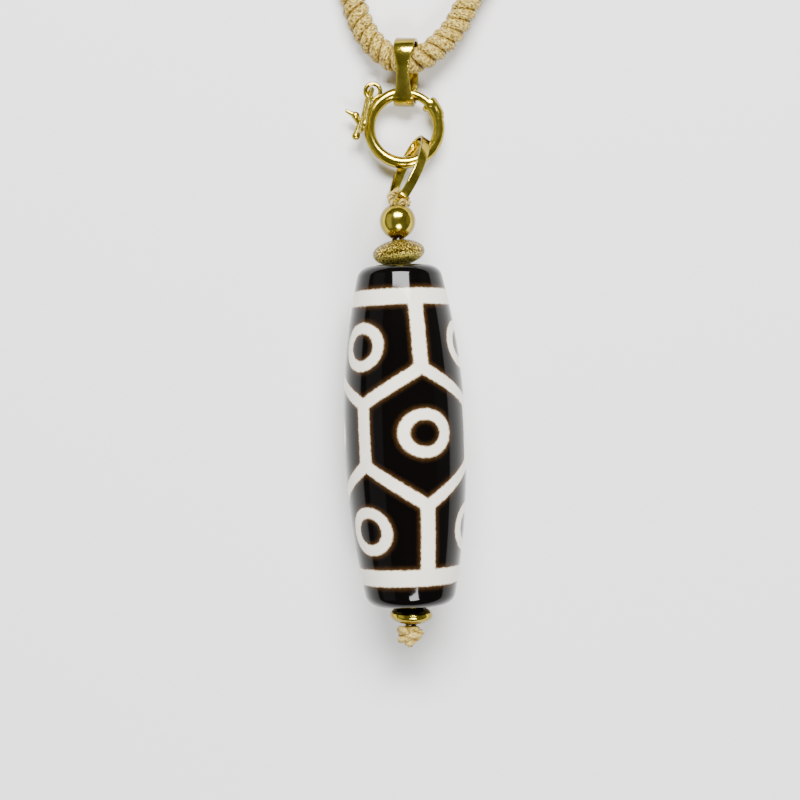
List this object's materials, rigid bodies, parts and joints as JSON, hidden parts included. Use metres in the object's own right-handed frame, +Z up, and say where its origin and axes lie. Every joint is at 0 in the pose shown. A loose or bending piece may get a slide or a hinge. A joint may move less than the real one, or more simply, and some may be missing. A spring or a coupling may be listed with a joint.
{
  "type": "dzi bead necklace",
  "caption": "Patterned agate barrel bead with gold saucer and round beads, an oval link, a spring ring clasp and a bail on a plaited neck cord, laid flat.",
  "frame": {"origin": "the point on the surface under the middle of the agate bead, which touches the surface there", "axes": "+Y along the agate bead towards the clasp, +Z up from the surface, +X to the right seen from above"},
  "size_m": [0.139, 0.3397, 0.0135],
  "materials": {
    "agate": "polished black and ivory banded agate",
    "polished_gold": "polished gold plate",
    "frosted_gold": "frosted, sparkling gold plate",
    "thread": "waxed twisted thread",
    "cord": "tan plaited cord"
  },
  "bodies": {
    "necklace": {"dzi_bead": "agate", "upper_saucer": "frosted_gold", "round_bead": "polished_gold", "lower_saucer": "polished_gold", "pendant_thread": "thread", "end_knot": "thread", "oval_link": "polished_gold", "clasp_ring": "polished_gold", "end_link": "polished_gold", "bail": "polished_gold", "neck_cord": "cord", "cord_join": "polished_gold"},
    "bolt": {"clasp_bolt": "polished_gold"}
  },
  "joints": [
    {"name": "clasp_bolt_slide", "type": "hinge", "parent": "necklace", "child": "bolt", "pos_m": [0.00111, 0.03483, 0.0018], "axis": [0, 0, 1], "range_deg": [0, 57], "stiffness_Nm_per_rad": 0.004}
  ]
}
